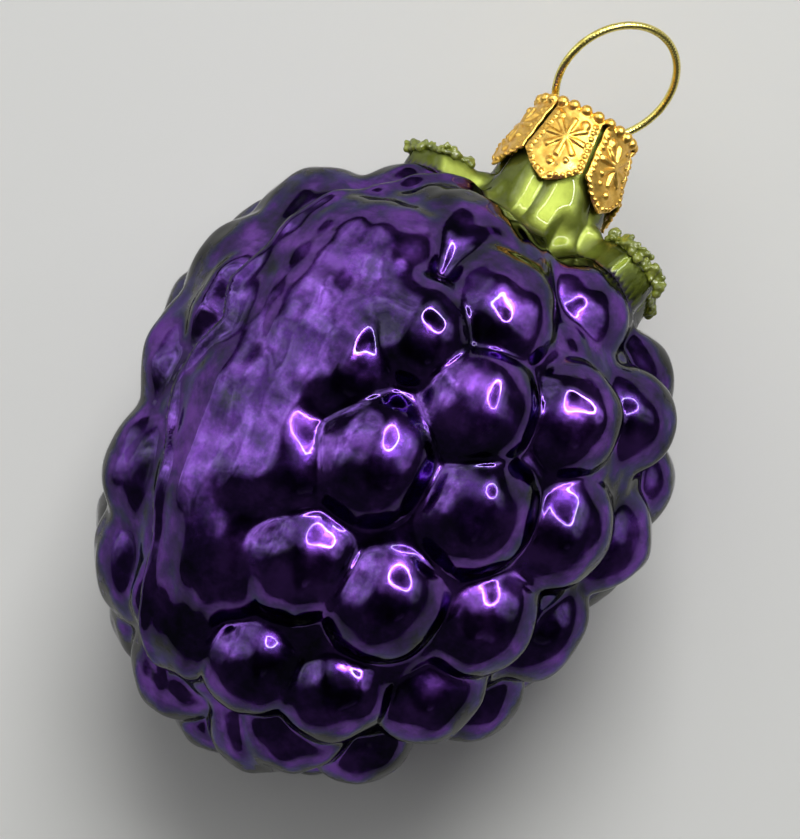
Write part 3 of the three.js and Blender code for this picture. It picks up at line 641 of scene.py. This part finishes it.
# Stamped cap on its straight neck, before the neck leans
CAP_RIM_Y = 41.4
CAP_RIM_RADIUS = 5.3
CAP_DOME = 0.4
CAP_SHEET = 0.3
CAP_BEND = 0.45
PETALS = 6
PETAL_TURN = -12.5
PETAL_LENGTH = 8.6
PETAL_START = 0.055
PETAL_SLOPE = 0.12
PETAL_HALF_WIDTHS = ((0.0, 2.42), (0.38, 2.8), (0.72, 3.22), (0.88, 1.9), (1, 0.3))
PETAL_TIP_RADIUS = 6.95
PETAL_SAG = (0.65, 0.3)
PETAL_COLUMNS = 56
PETAL_ROWS = 84
RIM_ROWS = 10
DOME_ROWS = 14
DOME_CROWDING = 0.7
RIM_BEADS = 24
RIM_BEAD_RADIUS = 0.62
RIM_BEAD_INSET = 0.1
RIM_BEAD_DROP = 0.15

# Stamping on each petal, in millimetres across it and down from the rim
STAR_DOWN = 3.6
STAR_REACH = 2.2
STAR_RISE = 0.26
STAR_HALF_WIDTHS = (0.1, 0.27)
STAR_SIDE = (0.12, -0.06)
STAR_END = (0.1, -0.15)
STAR_RAYS = 8
BORDER_INSET = 0.42
BORDER_PITCH = 0.66
BORDER_DOWN = 1.0
BORDER_TIP = 1.3
BORDER_BEAD = (0.27, 0.2)
PETAL_STUDS = (
    (1.15, 1.7, 0.5, 0.34), (-0.2, 6.55, 0.42, 0.28), (-1.5, 1.5, 0.3, 0.2), (1.2, 5.9, 0.3, 0.2),
)
WIRE_HOLE_RADIUS = 0.62
WIRE_HOLE_DEPTH = 0.4

# Hanging wire: its loop, the drop and radius of its legs' points, and the ribs rolled into it
WIRE_RADIUS = 0.4
LOOP_RADIUS = 6.5
LOOP_CENTRE = np.array([-0.45, 46.4, -0.9])
LOOP_UP = unit(0.213, 0.939, 0.273)
LOOP_SIDE = unit(0.789, 0, -0.615)
LEG_DROPS = ((1.1, 2.9), (3.0, 2.7), (5.6, 3.6), (6.8, 3.3))
WIRE_SIDES = 20
WIRE_STEPS = 620
LOOP_POINTS = 25
LINE_PARTS = 20
WIRE_RIB_STARTS = 3
WIRE_RIB_PITCH = 0.36
WIRE_RIB_HEIGHT = 0.03

NECK_TURN = Euler(NECK_LEAN).to_matrix()


def full_lean(points):
    """From the straight neck's frame to the leaning neck."""
    return (points - NECK_PIVOT) @ np.array(NECK_TURN).T + NECK_PIVOT


def straightened(points):
    """From the leaning neck back to the straight neck's frame."""
    return (points - NECK_PIVOT) @ np.array(NECK_TURN) + NECK_PIVOT


def loop_point(turn):
    """Points on the loop's circle at angles round it."""
    turn = np.asarray(turn)[..., None]
    return LOOP_CENTRE + LOOP_RADIUS * (np.cos(turn) * LOOP_SIDE + np.sin(turn) * LOOP_UP)


def loop_ends():
    """Where the loop crosses the plane of the cap's rim, as angles on the loop."""
    axis = np.array(NECK_TURN) @ np.array([0, 1, 0])
    rim_centre = full_lean(np.array([0, CAP_RIM_Y, 0]))
    height = (LOOP_CENTRE - rim_centre) @ axis
    along, up = LOOP_SIDE @ axis, LOOP_UP @ axis
    top = math.atan2(up, along)
    reach = math.acos(-height / (LOOP_RADIUS * math.hypot(along, up)))
    return top - reach, top + reach


def petal_half_width(share):
    places, widths = zip(*PETAL_HALF_WIDTHS)
    return np.interp(share, places, widths)


def petal_point(side, share):
    """A point on the front petal's outer face, before it is turned to its place."""
    sag = (PETAL_SAG[0] + (PETAL_SAG[1] - PETAL_SAG[0]) * share) * side ** 2
    out = CAP_RIM_RADIUS + (PETAL_TIP_RADIUS - CAP_RIM_RADIUS) * share - sag
    return np.stack([side * petal_half_width(share), CAP_RIM_Y - PETAL_LENGTH * share, out], -1)


def bead_rise(distance, radius, height):
    """Height of a round bead at a distance from its middle."""
    return height * np.sqrt(np.maximum(1 - (distance / radius) ** 2, 0))


def petal_border():
    """Places of the border's beads across and down the front petal."""
    corners = [(share, width - BORDER_INSET) for share, width in PETAL_HALF_WIDTHS[:-1]]
    corners.append((1 - BORDER_INSET / PETAL_LENGTH * BORDER_TIP, 0.0))
    beads = []
    for side in (-1, 1):
        line = np.array([(side * width, share * PETAL_LENGTH) for share, width in corners])
        line[0, 1] = BORDER_DOWN
        lengths = np.concatenate([[0], np.cumsum(np.linalg.norm(np.diff(line, axis=0), axis=1))])
        at = np.arange(BORDER_PITCH / 2, lengths[-1], BORDER_PITCH)
        beads += list(zip(np.interp(at, lengths, line[:, 0]), np.interp(at, lengths, line[:, 1])))
    return beads


def stamped_rise(across, down):
    """Height of the stamping on a petal: star, studs and bead border."""
    below = down - STAR_DOWN
    distance = np.hypot(across, below)
    turn = np.arctan2(across, below)
    sector = 2 * math.pi / STAR_RAYS
    off = (turn + sector / 2) % sector - sector / 2
    share = np.clip(distance / STAR_REACH, 0, 1)
    half = STAR_HALF_WIDTHS[0] + (STAR_HALF_WIDTHS[1] - STAR_HALF_WIDTHS[0]) * share
    ray = smoothstep(half + STAR_SIDE[0], half + STAR_SIDE[1], np.abs(distance * np.sin(off)))
    rise = STAR_RISE * ray * smoothstep(STAR_REACH + STAR_END[0], STAR_REACH + STAR_END[1], distance)
    for x, y, radius, height in PETAL_STUDS:
        rise = np.maximum(rise, bead_rise(np.hypot(across - x, down - y), radius, height))
    for x, y in petal_border():
        rise = np.maximum(rise, bead_rise(np.hypot(across - x, down - y), *BORDER_BEAD))
    return rise


def turned(points, angle):
    """Points turned round the axis."""
    cos, sin = np.cos(angle), np.sin(angle)
    x, y, z = points[..., 0], points[..., 1], points[..., 2]
    return np.stack([cos * x + sin * z, y, cos * z - sin * x], -1)


def raised_by(points, normals, centres, radius):
    """Pushes points out to the spheres they lie inside."""
    for centre in centres:
        away = points - centre
        inside = np.linalg.norm(away, axis=-1) < radius
        along = np.sum(away * normals, -1)
        lift = -along + np.sqrt(np.maximum(along ** 2 - np.sum(away ** 2, -1) + radius ** 2, 0))
        points = points + normals * (lift * inside)[..., None]
    return points


def rim_bead_centres():
    angles = 2 * math.pi * (np.arange(RIM_BEADS) + 0.5) / RIM_BEADS
    return on_axis(CAP_RIM_RADIUS - RIM_BEAD_INSET, CAP_RIM_Y - RIM_BEAD_DROP, angles)


def cap_rows(angle):
    """Outer face of the dome and rim at each angle, with normals; rows run outwards and down."""
    flat = np.linspace(0, 1, DOME_ROWS + 1)[1:] ** DOME_CROWDING * (CAP_RIM_RADIUS - CAP_BEND)
    rows, normals = [], []
    for radius in flat:
        height = CAP_RIM_Y + CAP_DOME * (1 - (radius / CAP_RIM_RADIUS) ** 2)
        rows.append(on_axis(radius, height, angle))
        normals.append(on_axis(0, 1, angle))
    middle = CAP_RIM_RADIUS - CAP_BEND
    height = CAP_RIM_Y + CAP_DOME * (1 - (middle / CAP_RIM_RADIUS) ** 2) - CAP_BEND
    for i in range(1, RIM_ROWS + 1):
        turn = math.pi / 2 * i / RIM_ROWS
        out, up = math.sin(turn), math.cos(turn)
        rows.append(on_axis(middle + CAP_BEND * out, height + CAP_BEND * up, angle))
        normals.append(on_axis(out, up, angle))
    return np.array(rows), np.array(normals)


def cap_piece():
    """The stamped cap as one thin sheet, with its petals cut apart below the rim."""
    columns = PETALS * PETAL_COLUMNS
    start = math.radians(PETAL_TURN) - math.pi / PETALS
    angle = start + 2 * math.pi * np.arange(columns) / columns
    top, top_normals = cap_rows(angle)
    beads = rim_bead_centres()
    top = raised_by(top, top_normals, beads, RIM_BEAD_RADIUS)
    points = [np.array([[0, CAP_RIM_Y + CAP_DOME, 0]]), top.reshape(-1, 3)]
    faces = [(0, 1 + i, 1 + (i + 1) % columns) for i in range(columns)]
    rows = len(top)
    for row in range(rows - 1):
        faces += ring_faces(1 + (row + 1) * columns, 1 + row * columns, columns)
    rim = 1 + (rows - 1) * columns
    count = 1 + rows * columns
    side, share = np.meshgrid(np.linspace(-1, 1, PETAL_COLUMNS + 1),
                              np.linspace(PETAL_START, 1, PETAL_ROWS), indexing="xy")
    flat = petal_point(side, share)
    rise = stamped_rise(flat[..., 0], PETAL_LENGTH * share)
    for petal in range(PETALS):
        facing = math.radians(PETAL_TURN) + 2 * math.pi * petal / PETALS
        own_rise = rise[:, ::-1] if petal % 2 else rise
        stamped = turned(flat, facing)
        normals = on_axis(1, PETAL_SLOPE, np.full(side.shape, facing))
        stamped = stamped + normals * (own_rise + ripples(stamped, *CAP_CRUMPLE))[..., None]
        points.append(raised_by(stamped, normals, beads, RIM_BEAD_RADIUS).reshape(-1, 3))
        above = [rim + (petal * PETAL_COLUMNS + i) % columns for i in range(PETAL_COLUMNS + 1)]
        for row in range(PETAL_ROWS):
            below = [count + row * (PETAL_COLUMNS + 1) + i for i in range(PETAL_COLUMNS + 1)]
            for i in range(PETAL_COLUMNS):
                faces.append((above[i], below[i], below[i + 1], above[i + 1]))
            above = below
        count += side.size
    points = np.concatenate(points)
    faces = cut_wire_holes(points, faces)
    piece = new_mesh("stamped_cap", full_lean(points), faces)
    sheet = piece.modifiers.new("sheet", "SOLIDIFY")
    sheet.thickness = CAP_SHEET * MM
    sheet.offset = -1
    apply_modifiers(piece)
    return piece


def cut_wire_holes(points, faces):
    """Opens a round hole where each end of the wire goes in."""
    gone = np.zeros(len(points), bool)
    for turn in loop_ends():
        crossing = straightened(loop_point(turn))
        away = points - crossing
        away[:, 1] = 0
        distance = np.linalg.norm(away, axis=1)
        near = (distance < WIRE_HOLE_RADIUS) & (points[:, 1] > CAP_RIM_Y - WIRE_HOLE_DEPTH)
        gone |= near
        scale = WIRE_HOLE_RADIUS / np.maximum(distance[near], TOO_CLOSE)
        points[near] += away[near] * (scale - 1)[:, None]
    return [face for face in faces if not all(gone[list(face)])]


def apply_modifiers(piece):
    """Keeps the mesh as its modifiers leave it."""
    graph = bpy.context.evaluated_depsgraph_get()
    shaped = bpy.data.meshes.new_from_object(piece.evaluated_get(graph))
    piece.modifiers.clear()
    piece.data = shaped
    smooth_all(shaped)


def curve_through(points, per_part):
    """A smooth line through points, sampled between each two of them."""
    padded = np.concatenate([[2 * points[0] - points[1]], points, [2 * points[-1] - points[-2]]])
    t = (np.arange(per_part) / per_part)[:, None]
    parts = []
    for a, b, c, d in zip(padded, padded[1:], padded[2:], padded[3:]):
        parts.append(b + 0.5 * t * (c - a + t * (2 * a - 5 * b + 4 * c - d + t * (3 * (b - c) + d - a))))
    return np.concatenate(parts + [points[-1:]])


def wire_line():
    """The wire's middle, from leg end to leg end, and the length along it."""
    loop = straightened(loop_point(np.linspace(*loop_ends(), LOOP_POINTS)))
    legs = []
    for end in (loop[0], loop[-1]):
        angle = np.array(math.atan2(end[0], end[2]))
        legs.append(np.array([on_axis(radius, CAP_RIM_Y - drop, angle) for drop, radius in LEG_DROPS]))
    line = full_lean(curve_through(np.concatenate([legs[0][::-1], loop, legs[1]]), LINE_PARTS))
    lengths = np.concatenate([[0], np.cumsum(np.linalg.norm(np.diff(line, axis=0), axis=1))])
    at = np.linspace(0, lengths[-1], WIRE_STEPS + 1)
    return np.stack([np.interp(at, lengths, line[:, k]) for k in range(3)], 1), at


def wire_piece():
    """The hanging wire, with the fine crossed ribs rolled into it."""
    line, at = wire_line()
    ahead = np.gradient(line, axis=0)
    ahead /= np.linalg.norm(ahead, axis=1)[:, None]
    normal = np.cross(ahead[0], [0, 0, 1])
    turns = 2 * math.pi * np.arange(WIRE_SIDES) / WIRE_SIDES
    points = []
    for centre, forward, length in zip(line, ahead, at):
        normal = normal - (normal @ forward) * forward
        normal /= np.linalg.norm(normal)
        across = np.cross(forward, normal)
        phase = 2 * math.pi * length / WIRE_RIB_PITCH
        ribs = np.maximum(np.cos(phase + WIRE_RIB_STARTS * turns),
                          np.cos(phase - WIRE_RIB_STARTS * turns))
        radius = (WIRE_RADIUS - WIRE_RIB_HEIGHT / 2 + WIRE_RIB_HEIGHT / 2 * ribs)[:, None]
        outwards = np.cos(turns)[:, None] * normal + np.sin(turns)[:, None] * across
        points.append(centre + radius * outwards)
    points = np.concatenate(points + [line[:1], line[-1:]])
    faces = []
    for step in range(WIRE_STEPS):
        faces += ring_faces(step * WIRE_SIDES, (step + 1) * WIRE_SIDES, WIRE_SIDES)
    foot, end = len(points) - 2, WIRE_STEPS * WIRE_SIDES
    for i in range(WIRE_SIDES):
        j = (i + 1) % WIRE_SIDES
        faces += [(foot, j, i), (foot + 1, end + i, end + j)]
    return new_mesh("ribbed_wire", points, faces)


# Glass grit on each leaf: lumps and their radii, the share of the leaf's length they cover, their band
GRIT_SEED = 100
GRIT_LUMPS = 230
GRIT_RADII = (0.2, 0.42)
GRIT_BIG_LUMPS = 14
GRIT_BIG_RADII = (0.45, 0.62)
GRIT_SPAN = (0.28, 0.99)
GRIT_EDGE = 0.35
GRIT_BAND = 1.15
GRIT_HEIGHT = 1.15
GRIT_SINK = 0.05
GRIT_SQUASH = (0.8, 1.15)
GRIT_VOXEL = 0.13


def grit_piece(number):
    """Grains of glass grit fused to each other along the edge of one leaf."""
    midrib, length, half_width = LEAVES[number - 1]
    chance = np.random.default_rng(GRIT_SEED + number)
    count = GRIT_LUMPS + GRIT_BIG_LUMPS
    share = chance.uniform(*GRIT_SPAN, count)
    s = ARC_ROOT - LEAF_FOOT - share * length
    radius = profile_at(s)[0]
    edge = leaf_half_width(share, half_width, radius) - GRIT_EDGE
    inset = chance.uniform(0, GRIT_BAND, count)
    across = np.maximum(edge - inset, 0) * np.where(chance.random(count) < 0.5, -1, 1)
    size = np.concatenate([chance.uniform(*GRIT_RADII, GRIT_LUMPS),
                           chance.uniform(*GRIT_BIG_RADII, GRIT_BIG_LUMPS)])
    crown = GRIT_HEIGHT * np.sqrt(np.maximum(1 - (2 * inset / GRIT_BAND - 1) ** 2, 0))
    height = crown * chance.uniform(0, 1, count) - GRIT_SINK
    centres = skin(s, math.radians(midrib) + across / radius, -(leaf_raise(share) + height))
    shape = bmesh.new()
    bmesh.ops.create_icosphere(shape, subdivisions=1, radius=1.0)
    corners = np.array([list(corner.co) for corner in shape.verts])
    sides = [tuple(corner.index for corner in side.verts) for side in shape.faces]
    shape.free()
    points, faces = [], []
    for centre, own in zip(centres, size):
        start = len(points) * len(corners)
        points.append(centre + corners * own * chance.uniform(*GRIT_SQUASH, 3))
        faces += [tuple(start + i for i in side) for side in sides]
    piece = new_mesh(f"fused_grit_{number}", np.concatenate(points), faces)
    fused = piece.modifiers.new("fused", "REMESH")
    fused.mode = "VOXEL"
    fused.voxel_size = GRIT_VOXEL * MM
    apply_modifiers(piece)
    return piece


# Floor, lights and lamp are in metres and watts
FLOOR_HALF = 1.6
FLOOR_COLOUR = (0.78, 0.785, 0.77, 1)
FLOOR_ROUGHNESS = 0.7


def floor():
    """The plain pale surface that the berry lies on."""
    mesh = bpy.data.meshes.new("floor")
    corners = [(x * FLOOR_HALF, y * FLOOR_HALF, 0) for x, y in ((-1, -1), (1, -1), (1, 1), (-1, 1))]
    mesh.from_pydata(corners, [], [(0, 1, 2, 3)])
    piece = bpy.data.objects.new("floor", mesh)
    bpy.context.scene.collection.objects.link(piece)
    made, _, _, shader = material("pale_surface")
    shader.inputs["Base Color"].default_value = FLOOR_COLOUR
    shader.inputs["Roughness"].default_value = FLOOR_ROUGHNESS
    piece.data.materials.append(made)


# Camera, in millimetres: straight above, turned so that the neck points to the upper right
PICTURE_HEIGHT = 839
SENSOR_HEIGHT = 24.0
NEAREST_SEEN = 10.0
CAMERA_ABOVE_AXIS = 300.0
CAMERA_FOOT = (-0.92, 6.2)
PIXELS_PER_MM = 10.0
PICTURE_TURN = math.radians(32)


def camera():
    """The camera, with a lens that gives the photo's scale at the height of the berry's axis."""
    lens = bpy.data.cameras.new("camera")
    lens.sensor_fit = "VERTICAL"
    lens.sensor_height = SENSOR_HEIGHT
    lens.lens = SENSOR_HEIGHT * CAMERA_ABOVE_AXIS * PIXELS_PER_MM / PICTURE_HEIGHT
    lens.clip_start = NEAREST_SEEN * MM
    seat = bpy.data.objects.new("camera", lens)
    foot = np.array([CAMERA_FOOT[0], CAMERA_FOOT[1], CAMERA_ABOVE_AXIS]) + PLACE
    seat.location = Vector(foot * MM)
    seat.rotation_euler = Euler((0, 0, PICTURE_TURN))
    bpy.context.scene.collection.objects.link(seat)
    bpy.context.scene.camera = seat


def picture_direction(right, up, towards_camera):
    """A direction given as the picture shows it, in the frame's axes."""
    cos, sin = math.cos(PICTURE_TURN), math.sin(PICTURE_TURN)
    return Vector((cos * right - sin * up, sin * right + cos * up, towards_camera)).normalized()


def area_light(name, direction, distance, size, power, colour):
    """A soft square light that shines on the surface and isn't seen in reflections."""
    lamp = bpy.data.lights.new(name, "AREA")
    lamp.shape = "RECTANGLE"
    lamp.size = lamp.size_y = size
    lamp.energy = power
    lamp.color = colour
    seat = bpy.data.objects.new(name, lamp)
    direction = picture_direction(*direction)
    seat.location = direction * distance
    seat.rotation_euler = (-direction).to_track_quat("-Z", "Y").to_euler()
    seat.visible_glossy = False
    bpy.context.scene.collection.objects.link(seat)


# Lights: direction in the picture, distance, size, power, colour
WINDOW = ((0.13, 0.58, 0.80), 1.2, 0.6, 9.9, (1.0, 0.995, 0.975))
CEILING = ((-0.2, 0.2, 1.0), 1.5, 1.4, 6.6, (1.0, 1.0, 0.985))

# The ring lamp: direction in the picture, distance, radius, thickness, glow and steps round it
RING_DIRECTION = (0.42, 0.40, 0.81)
RING_DISTANCE = 0.55
RING_RADIUS = 0.17
RING_TUBE = 0.008
RING_GLOW = 48
RING_STEPS = (96, 16)


def ring_lamp():
    """The photographer's ring lamp, seen only in reflections."""
    direction = picture_direction(*RING_DIRECTION)
    bpy.ops.mesh.primitive_torus_add(major_radius=RING_RADIUS, minor_radius=RING_TUBE,
                                     major_segments=RING_STEPS[0], minor_segments=RING_STEPS[1])
    ring = bpy.context.object
    ring.name = "ring_lamp"
    ring.location = direction * RING_DISTANCE
    ring.rotation_euler = direction.to_track_quat("Z", "Y").to_euler()
    made = bpy.data.materials.new("ring_glow")
    made.use_nodes = True
    nodes = made.node_tree.nodes
    nodes.clear()
    glow = nodes.new("ShaderNodeEmission")
    glow.inputs["Strength"].default_value = RING_GLOW
    out = nodes.new("ShaderNodeOutputMaterial")
    made.node_tree.links.new(glow.outputs[0], out.inputs[0])
    ring.data.materials.append(made)
    ring.visible_camera = False
    ring.visible_diffuse = False
    ring.visible_shadow = False


# The room, which only reflections see: its colour, the clouds that break its light up, its least glow
ROOM_COLOUR = (0.95, 0.97, 1.0, 1)
ROOM_CLOUD = (3.5, 3, 0.6)
ROOM_BREAK_UP = ((0.35, 0.65), (0.25, 1.5))
ROOM_GLOW = 0.06
ROOM_DARKEST = 0.012

# Soft patches of light in it: direction in the picture, half-width from and to in degrees, glow
ROOM_PATCHES = (
    ((-0.62, 0.42, 0.62), 6, 36, 1.9),
    ((-0.30, 0.75, 0.45), 5, 26, 1.5),
    ((-0.95, 0.25, 0.16), 4, 24, 1.4),
    ((0.80, 0.10, 0.55), 5, 24, 1.2),
    ((0.42, 0.40, 0.81), 24, 38, 1.2),
    ((0.42, 0.40, 0.81), 12, 22, -2.4),
    ((0.35, -0.62, 0.70), 1, 9, 0.8),
)

# The dark patch where the photographer stands, and how dark it is
ROOM_DARK = ((0.22, -0.28, 0.93), 18, 44)
ROOM_DARK_SHARE = 0.93


def world():
    """The room as smooth patches of light by direction, dark where the photographer stands."""
    sky = bpy.data.worlds.new("room")
    bpy.context.scene.world = sky
    sky.use_nodes = True
    sky.cycles_visibility.diffuse = False
    nodes, links = sky.node_tree.nodes, sky.node_tree.links
    direction = nodes.new("ShaderNodeTexCoord").outputs["Generated"]
    cloud = noise(nodes, links, ROOM_CLOUD, direction)
    broken = spread(nodes, links, cloud, *ROOM_BREAK_UP)

    def maths(kind, first, second):
        made = nodes.new("ShaderNodeMath")
        made.operation = kind
        for socket, value in zip(made.inputs, (first, second)):
            if isinstance(value, (int, float)):
                socket.default_value = value
            else:
                links.new(value, socket)
        return made.outputs[0]

    def patch(centre, start, end):
        towards = nodes.new("ShaderNodeVectorMath")
        towards.operation = "DOT_PRODUCT"
        links.new(direction, towards.inputs[0])
        towards.inputs[1].default_value = picture_direction(*centre)
        rim = (math.cos(math.radians(end)), math.cos(math.radians(start)))
        made = spread(nodes, links, towards.outputs["Value"], rim, (0, 1))
        made.interpolation_type = "SMOOTHSTEP"
        return made.outputs["Result"]

    total = None
    for centre, start, end, glow in ROOM_PATCHES:
        one = maths("MULTIPLY", patch(centre, start, end), glow)
        total = one if total is None else maths("ADD", total, one)
    total = maths("ADD", maths("MULTIPLY", total, broken.outputs["Result"]), ROOM_GLOW)
    dark = maths("SUBTRACT", 1.0, maths("MULTIPLY", patch(*ROOM_DARK), ROOM_DARK_SHARE))
    background = nodes["Background"]
    background.inputs["Color"].default_value = ROOM_COLOUR
    lit = maths("MAXIMUM", maths("MULTIPLY", total, dark), ROOM_DARKEST)
    links.new(lit, background.inputs["Strength"])


def dressed(piece, look, slot, *nodes):
    """Gives a piece its material, hides the CAD solids it stands in for and hangs it under the root."""
    piece.data.materials.clear()
    piece.data.materials.append(look)
    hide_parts(*nodes)
    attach(piece, "root")


camera()
world()
floor()
ring_lamp()
area_light("window", *WINDOW)
area_light("ceiling", *CEILING)

dressed(glass_piece(), lacquered_glass(), "violet_glass", "glass_berry")
dressed(cap_piece(), stamped_gold(), "gold_cap", "crown_cap")
dressed(wire_piece(), wire_gold(), "gold_wire", "hanger_wire")
for number in range(1, len(LEAVES) + 1):
    dressed(grit_piece(number), grit_green(), "green_grit", f"leaf_grit_{number}")

bpy.context.scene.view_settings.view_transform = "Standard"
